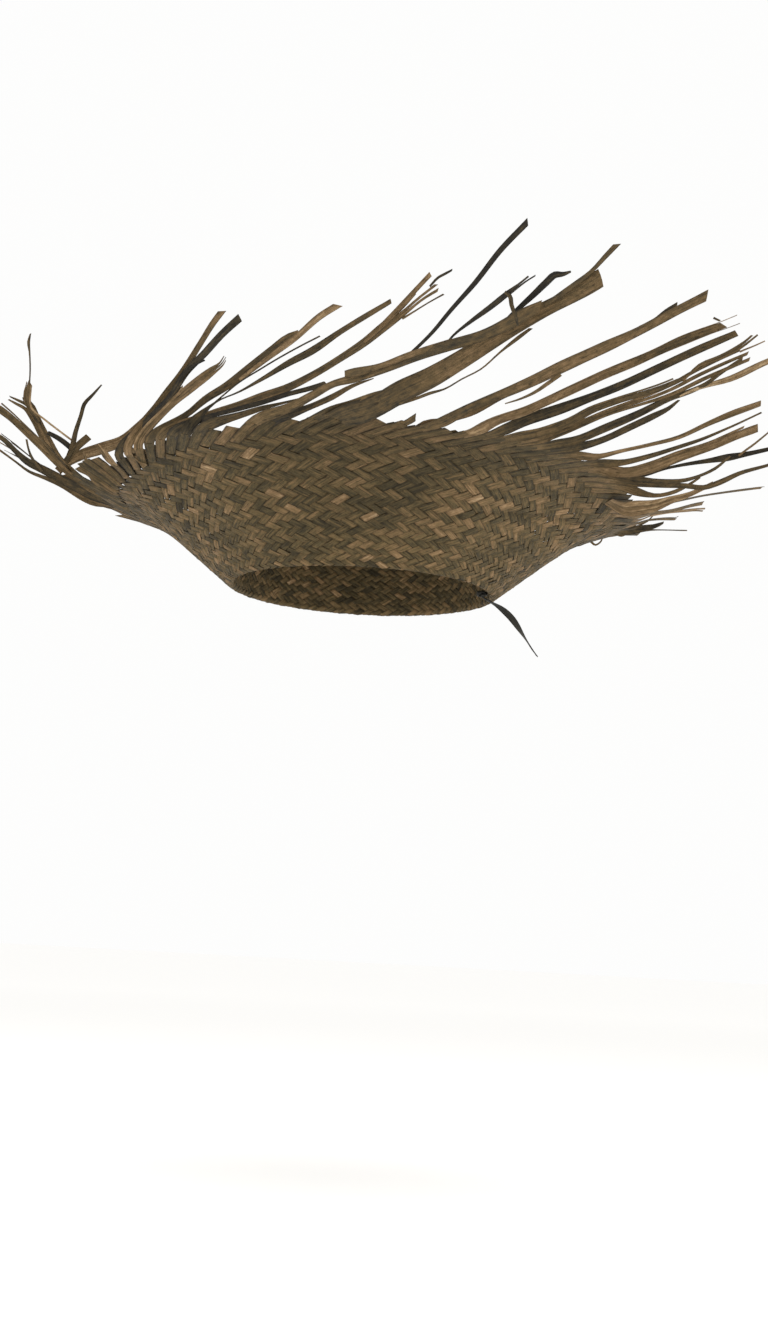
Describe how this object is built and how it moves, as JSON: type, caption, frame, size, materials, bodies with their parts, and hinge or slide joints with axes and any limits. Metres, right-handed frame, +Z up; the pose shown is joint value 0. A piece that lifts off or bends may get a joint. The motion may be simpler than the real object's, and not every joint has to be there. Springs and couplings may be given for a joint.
{
  "type": "plaited sun hat",
  "caption": "Plaited palm-leaf sun hat with a low rounded crown, a turned-up funnel brim, a chevron edge course and a long ragged fringe of loose leaf ends.",
  "frame": {"origin": "middle of the flat inner face of the crown's top, where the hat sits on a head or a hat stand", "axes": "+Z up along the crown's axis, -Y to the front of the hat, +X to the right as seen from the front"},
  "size_m": [0.5981, 0.667, 0.2295],
  "materials": {
    "plaited_brim": "matt dry leaf",
    "plaited_crown": "matt dry leaf",
    "plaited_edge": "matt dry leaf",
    "leaf_tan": "matt dry leaf",
    "leaf_brown": "matt dry leaf",
    "leaf_olive": "matt dry leaf",
    "leaf_dark": "matt dry leaf",
    "leaf_black": "matt dry leaf",
    "tie_dark": "matt dark strip"
  },
  "bodies": {
    "hat": {"crown_top": "plaited_crown", "crown_side": "plaited_crown", "brim": "plaited_brim", "brim_edge": "plaited_edge", "tie_knot": "tie_dark"},
    "tie": {"tie_strip": "tie_dark"},
    "front_1": {"leaf_front_1": "leaf_dark"},
    "front_2": {"leaf_front_2": "leaf_tan"},
    "front_3": {"leaf_front_3": "leaf_olive"},
    "front_4": {"leaf_front_4": "leaf_brown"},
    "front_5": {"leaf_front_5": "leaf_black"},
    "front_6": {"leaf_front_6": "leaf_brown"},
    "front_7": {"leaf_front_7": "leaf_black"},
    "front_8": {"leaf_front_8": "leaf_tan"},
    "front_right_1": {"leaf_front_right_1": "leaf_tan"},
    "front_right_2": {"leaf_front_right_2": "leaf_dark"},
    "front_right_3": {"leaf_front_right_3": "leaf_olive"},
    "front_right_4": {"leaf_front_right_4": "leaf_tan"},
    "front_right_5": {"leaf_front_right_5": "leaf_dark"},
    "front_right_6": {"leaf_front_right_6": "leaf_brown"},
    "front_right_7": {"leaf_front_right_7": "leaf_tan"},
    "right_1": {"leaf_right_1": "leaf_dark"},
    "right_2": {"leaf_right_2": "leaf_tan"},
    "right_3": {"leaf_right_3": "leaf_dark"},
    "right_4": {"leaf_right_4": "leaf_tan"},
    "right_5": {"leaf_right_5": "leaf_brown"},
    "right_6": {"leaf_right_6": "leaf_dark"},
    "back_right_1": {"leaf_back_right_1": "leaf_brown"},
    "back_right_2": {"leaf_back_right_2": "leaf_tan"},
    "back_right_3": {"leaf_back_right_3": "leaf_olive"},
    "back_right_4": {"leaf_back_right_4": "leaf_brown"},
    "back_right_5": {"leaf_back_right_5": "leaf_dark"},
    "back_1": {"leaf_back_1": "leaf_tan"},
    "back_2": {"leaf_back_2": "leaf_olive"},
    "back_3": {"leaf_back_3": "leaf_brown"},
    "back_4": {"leaf_back_4": "leaf_dark"},
    "back_5": {"leaf_back_5": "leaf_tan"},
    "back_left_1": {"leaf_back_left_1": "leaf_brown"},
    "back_left_2": {"leaf_back_left_2": "leaf_olive"},
    "back_left_3": {"leaf_back_left_3": "leaf_dark"},
    "back_left_4": {"leaf_back_left_4": "leaf_tan"},
    "back_left_5": {"leaf_back_left_5": "leaf_dark"},
    "left_1": {"leaf_left_1": "leaf_brown"},
    "left_2": {"leaf_left_2": "leaf_tan"},
    "left_3": {"leaf_left_3": "leaf_dark"},
    "left_4": {"leaf_left_4": "leaf_brown"},
    "left_5": {"leaf_left_5": "leaf_tan"},
    "front_left_1": {"leaf_front_left_1": "leaf_tan"},
    "front_left_2": {"leaf_front_left_2": "leaf_dark"},
    "front_left_3": {"leaf_front_left_3": "leaf_brown"},
    "front_left_4": {"leaf_front_left_4": "leaf_dark"}
  },
  "joints": [
    {"name": "front_1_flex", "type": "hinge", "parent": "hat", "child": "front_1", "pos_m": [-0.10127, -0.16468, -0.02294], "axis": [-0.8513, -0.4029, 0.3361], "range_deg": [-11, 13]},
    {"name": "front_2_flex", "type": "hinge", "parent": "hat", "child": "front_2", "pos_m": [-0.07547, -0.17833, -0.02161], "axis": [-0.827, -0.4676, 0.312], "range_deg": [-11, 13]},
    {"name": "front_3_flex", "type": "hinge", "parent": "hat", "child": "front_3", "pos_m": [-0.0573, -0.18452, -0.02075], "axis": [-0.8609, -0.4311, 0.2703], "range_deg": [-11, 13]},
    {"name": "front_4_flex", "type": "hinge", "parent": "hat", "child": "front_4", "pos_m": [-0.03759, -0.19054, -0.01922], "axis": [-0.8625, -0.4411, 0.2479], "range_deg": [-11, 13]},
    {"name": "front_5_flex", "type": "hinge", "parent": "hat", "child": "front_5", "pos_m": [-0.01865, -0.19136, -0.01946], "axis": [-0.812, -0.5203, 0.2644], "range_deg": [-11, 13]},
    {"name": "front_6_flex", "type": "hinge", "parent": "hat", "child": "front_6", "pos_m": [0.00159, -0.19561, -0.01762], "axis": [-0.65, -0.6867, 0.3255], "range_deg": [-10, 12]},
    {"name": "front_7_flex", "type": "hinge", "parent": "hat", "child": "front_7", "pos_m": [0.02172, -0.19076, -0.01946], "axis": [-0.7138, -0.6444, 0.2742], "range_deg": [-11, 13]},
    {"name": "front_8_flex", "type": "hinge", "parent": "hat", "child": "front_8", "pos_m": [0.04048, -0.18897, -0.01912], "axis": [-0.515, -0.7927, 0.3263], "range_deg": [-11, 13]},
    {"name": "front_right_1_flex", "type": "hinge", "parent": "hat", "child": "front_right_1", "pos_m": [0.06154, -0.18223, -0.01992], "axis": [-0.4738, -0.8253, 0.3071], "range_deg": [-11, 13]},
    {"name": "front_right_2_flex", "type": "hinge", "parent": "hat", "child": "front_right_2", "pos_m": [0.07883, -0.1742, -0.02073], "axis": [-0.3815, -0.873, 0.3038], "range_deg": [-11, 13]},
    {"name": "front_right_3_flex", "type": "hinge", "parent": "hat", "child": "front_right_3", "pos_m": [0.09664, -0.16653, -0.02023], "axis": [-0.2349, -0.9206, 0.3119], "range_deg": [-10, 12]},
    {"name": "front_right_4_flex", "type": "hinge", "parent": "hat", "child": "front_right_4", "pos_m": [0.11141, -0.15363, -0.02136], "axis": [-0.1644, -0.9417, 0.2937], "range_deg": [-11, 13]},
    {"name": "front_right_5_flex", "type": "hinge", "parent": "hat", "child": "front_right_5", "pos_m": [0.12554, -0.14008, -0.02167], "axis": [-0.0751, -0.9572, 0.2795], "range_deg": [-11, 13]},
    {"name": "front_right_6_flex", "type": "hinge", "parent": "hat", "child": "front_right_6", "pos_m": [0.13888, -0.12554, -0.02196], "axis": [-0.0303, -0.9526, 0.3027], "range_deg": [-11, 13]},
    {"name": "front_right_7_flex", "type": "hinge", "parent": "hat", "child": "front_right_7", "pos_m": [0.15178, -0.11021, -0.02315], "axis": [0.097, -0.9325, 0.3479], "range_deg": [-11, 13]},
    {"name": "right_1_flex", "type": "hinge", "parent": "hat", "child": "right_1", "pos_m": [0.16222, -0.09283, -0.02596], "axis": [0.1496, -0.9224, 0.3561], "range_deg": [-11, 13]},
    {"name": "right_2_flex", "type": "hinge", "parent": "hat", "child": "right_2", "pos_m": [0.17446, -0.07199, -0.02895], "axis": [0.328, -0.8717, 0.3641], "range_deg": [-11, 13]},
    {"name": "right_3_flex", "type": "hinge", "parent": "hat", "child": "right_3", "pos_m": [0.18423, -0.04932, -0.03186], "axis": [0.4156, -0.8478, 0.3295], "range_deg": [-10, 12]},
    {"name": "right_4_flex", "type": "hinge", "parent": "hat", "child": "right_4", "pos_m": [0.18953, -0.02498, -0.03435], "axis": [0.5651, -0.7722, 0.2905], "range_deg": [-11, 13]},
    {"name": "right_5_flex", "type": "hinge", "parent": "hat", "child": "right_5", "pos_m": [0.19171, 0.00359, -0.03511], "axis": [0.6547, -0.7206, 0.2285], "range_deg": [-11, 13]},
    {"name": "right_6_flex", "type": "hinge", "parent": "hat", "child": "right_6", "pos_m": [0.1888, 0.03209, -0.03549], "axis": [0.732, -0.6412, 0.2304], "range_deg": [-11, 13]},
    {"name": "back_right_1_flex", "type": "hinge", "parent": "hat", "child": "back_right_1", "pos_m": [0.182, 0.06723, -0.03552], "axis": [0.8434, -0.4795, 0.2425], "range_deg": [-11, 13]},
    {"name": "back_right_2_flex", "type": "hinge", "parent": "hat", "child": "back_right_2", "pos_m": [0.16904, 0.10049, -0.03586], "axis": [0.9225, -0.2953, 0.2487], "range_deg": [-11, 13]},
    {"name": "back_right_3_flex", "type": "hinge", "parent": "hat", "child": "back_right_3", "pos_m": [0.14982, 0.13013, -0.03645], "axis": [0.9597, -0.1481, 0.2387], "range_deg": [-11, 13]},
    {"name": "back_right_4_flex", "type": "hinge", "parent": "hat", "child": "back_right_4", "pos_m": [0.12714, 0.15682, -0.03625], "axis": [0.9718, 0.0021, 0.236], "range_deg": [-10, 12]},
    {"name": "back_right_5_flex", "type": "hinge", "parent": "hat", "child": "back_right_5", "pos_m": [0.09973, 0.17798, -0.03702], "axis": [0.9461, 0.2017, 0.2533], "range_deg": [-11, 13]},
    {"name": "back_1_flex", "type": "hinge", "parent": "hat", "child": "back_1", "pos_m": [0.06972, 0.1947, -0.0379], "axis": [0.9031, 0.35, 0.2487], "range_deg": [-11, 13]},
    {"name": "back_2_flex", "type": "hinge", "parent": "hat", "child": "back_2", "pos_m": [0.0371, 0.20458, -0.03904], "axis": [0.836, 0.4965, 0.2336], "range_deg": [-11, 13]},
    {"name": "back_3_flex", "type": "hinge", "parent": "hat", "child": "back_3", "pos_m": [0.00342, 0.20976, -0.03908], "axis": [0.7071, 0.6707, 0.224], "range_deg": [-10, 12]},
    {"name": "back_4_flex", "type": "hinge", "parent": "hat", "child": "back_4", "pos_m": [-0.03051, 0.20648, -0.03933], "axis": [0.5888, 0.7785, 0.2173], "range_deg": [-11, 13]},
    {"name": "back_5_flex", "type": "hinge", "parent": "hat", "child": "back_5", "pos_m": [-0.06363, 0.19804, -0.0392], "axis": [0.4244, 0.8784, 0.22], "range_deg": [-11, 13]},
    {"name": "back_left_1_flex", "type": "hinge", "parent": "hat", "child": "back_left_1", "pos_m": [-0.09454, 0.1828, -0.03934], "axis": [0.2937, 0.9322, 0.2116], "range_deg": [-11, 13]},
    {"name": "back_left_2_flex", "type": "hinge", "parent": "hat", "child": "back_left_2", "pos_m": [-0.11988, 0.16447, -0.03944], "axis": [0.1258, 0.9685, 0.215], "range_deg": [-11, 13]},
    {"name": "back_left_3_flex", "type": "hinge", "parent": "hat", "child": "back_left_3", "pos_m": [-0.14309, 0.14298, -0.03911], "axis": [-0.0132, 0.9783, 0.2068], "range_deg": [-10, 12]},
    {"name": "back_left_4_flex", "type": "hinge", "parent": "hat", "child": "back_left_4", "pos_m": [-0.16116, 0.11653, -0.0388], "axis": [-0.1092, 0.9786, 0.1746], "range_deg": [-11, 13]},
    {"name": "back_left_5_flex", "type": "hinge", "parent": "hat", "child": "back_left_5", "pos_m": [-0.17504, 0.08754, -0.03776], "axis": [-0.3075, 0.9336, 0.1838], "range_deg": [-11, 13]},
    {"name": "left_1_flex", "type": "hinge", "parent": "hat", "child": "left_1", "pos_m": [-0.18668, 0.05739, -0.03575], "axis": [-0.5119, 0.8318, 0.2146], "range_deg": [-11, 13]},
    {"name": "left_2_flex", "type": "hinge", "parent": "hat", "child": "left_2", "pos_m": [-0.19125, 0.02519, -0.03509], "axis": [-0.6715, 0.6982, 0.2482], "range_deg": [-11, 13]},
    {"name": "left_3_flex", "type": "hinge", "parent": "hat", "child": "left_3", "pos_m": [-0.19234, -0.0072, -0.03479], "axis": [-0.8511, 0.4394, 0.2875], "range_deg": [-10, 12]},
    {"name": "left_4_flex", "type": "hinge", "parent": "hat", "child": "left_4", "pos_m": [-0.18782, -0.03918, -0.03325], "axis": [-0.9135, 0.3116, 0.2615], "range_deg": [-11, 13]},
    {"name": "left_5_flex", "type": "hinge", "parent": "hat", "child": "left_5", "pos_m": [-0.17742, -0.06936, -0.03029], "axis": [-0.9341, 0.2754, 0.2273], "range_deg": [-11, 13]},
    {"name": "front_left_1_flex", "type": "hinge", "parent": "hat", "child": "front_left_1", "pos_m": [-0.16522, -0.09442, -0.02702], "axis": [-0.9568, -0.0004, 0.2907], "range_deg": [-11, 13]},
    {"name": "front_left_2_flex", "type": "hinge", "parent": "hat", "child": "front_left_2", "pos_m": [-0.15189, -0.11438, -0.0249], "axis": [-0.9351, -0.1397, 0.3258], "range_deg": [-10, 12]},
    {"name": "front_left_3_flex", "type": "hinge", "parent": "hat", "child": "front_left_3", "pos_m": [-0.13735, -0.13303, -0.02363], "axis": [-0.9092, -0.2233, 0.3513], "range_deg": [-11, 13]},
    {"name": "front_left_4_flex", "type": "hinge", "parent": "hat", "child": "front_left_4", "pos_m": [-0.12057, -0.14926, -0.02378], "axis": [-0.8813, -0.3142, 0.353], "range_deg": [-11, 13]},
    {"name": "tie_swing", "type": "hinge", "parent": "hat", "child": "tie", "pos_m": [0.0866, -0.016, -0.1032], "axis": [0.9707, -0.2402, 0], "range_deg": [-40, 40]}
  ],
  "couplings": [
    {"joint": "front_1_flex", "follows": "front_6_flex", "ratio": 1},
    {"joint": "front_2_flex", "follows": "front_6_flex", "ratio": 1},
    {"joint": "front_3_flex", "follows": "front_6_flex", "ratio": 1},
    {"joint": "front_4_flex", "follows": "front_6_flex", "ratio": 1},
    {"joint": "front_5_flex", "follows": "front_6_flex", "ratio": 1},
    {"joint": "front_7_flex", "follows": "front_6_flex", "ratio": 1},
    {"joint": "front_8_flex", "follows": "front_6_flex", "ratio": 1},
    {"joint": "front_right_1_flex", "follows": "front_right_3_flex", "ratio": 1},
    {"joint": "front_right_2_flex", "follows": "front_right_3_flex", "ratio": 1},
    {"joint": "front_right_4_flex", "follows": "front_right_3_flex", "ratio": 1},
    {"joint": "front_right_5_flex", "follows": "front_right_3_flex", "ratio": 1},
    {"joint": "front_right_6_flex", "follows": "front_right_3_flex", "ratio": 1},
    {"joint": "front_right_7_flex", "follows": "front_right_3_flex", "ratio": 1},
    {"joint": "right_1_flex", "follows": "right_3_flex", "ratio": 1},
    {"joint": "right_2_flex", "follows": "right_3_flex", "ratio": 1},
    {"joint": "right_4_flex", "follows": "right_3_flex", "ratio": 1},
    {"joint": "right_5_flex", "follows": "right_3_flex", "ratio": 1},
    {"joint": "right_6_flex", "follows": "right_3_flex", "ratio": 1},
    {"joint": "back_right_1_flex", "follows": "back_right_4_flex", "ratio": 1},
    {"joint": "back_right_2_flex", "follows": "back_right_4_flex", "ratio": 1},
    {"joint": "back_right_3_flex", "follows": "back_right_4_flex", "ratio": 1},
    {"joint": "back_right_5_flex", "follows": "back_right_4_flex", "ratio": 1},
    {"joint": "back_1_flex", "follows": "back_3_flex", "ratio": 1},
    {"joint": "back_2_flex", "follows": "back_3_flex", "ratio": 1},
    {"joint": "back_4_flex", "follows": "back_3_flex", "ratio": 1},
    {"joint": "back_5_flex", "follows": "back_3_flex", "ratio": 1},
    {"joint": "back_left_1_flex", "follows": "back_left_3_flex", "ratio": 1},
    {"joint": "back_left_2_flex", "follows": "back_left_3_flex", "ratio": 1},
    {"joint": "back_left_4_flex", "follows": "back_left_3_flex", "ratio": 1},
    {"joint": "back_left_5_flex", "follows": "back_left_3_flex", "ratio": 1},
    {"joint": "left_1_flex", "follows": "left_3_flex", "ratio": 1},
    {"joint": "left_2_flex", "follows": "left_3_flex", "ratio": 1},
    {"joint": "left_4_flex", "follows": "left_3_flex", "ratio": 1},
    {"joint": "left_5_flex", "follows": "left_3_flex", "ratio": 1},
    {"joint": "front_left_1_flex", "follows": "front_left_2_flex", "ratio": 1},
    {"joint": "front_left_3_flex", "follows": "front_left_2_flex", "ratio": 1},
    {"joint": "front_left_4_flex", "follows": "front_left_2_flex", "ratio": 1}
  ]
}
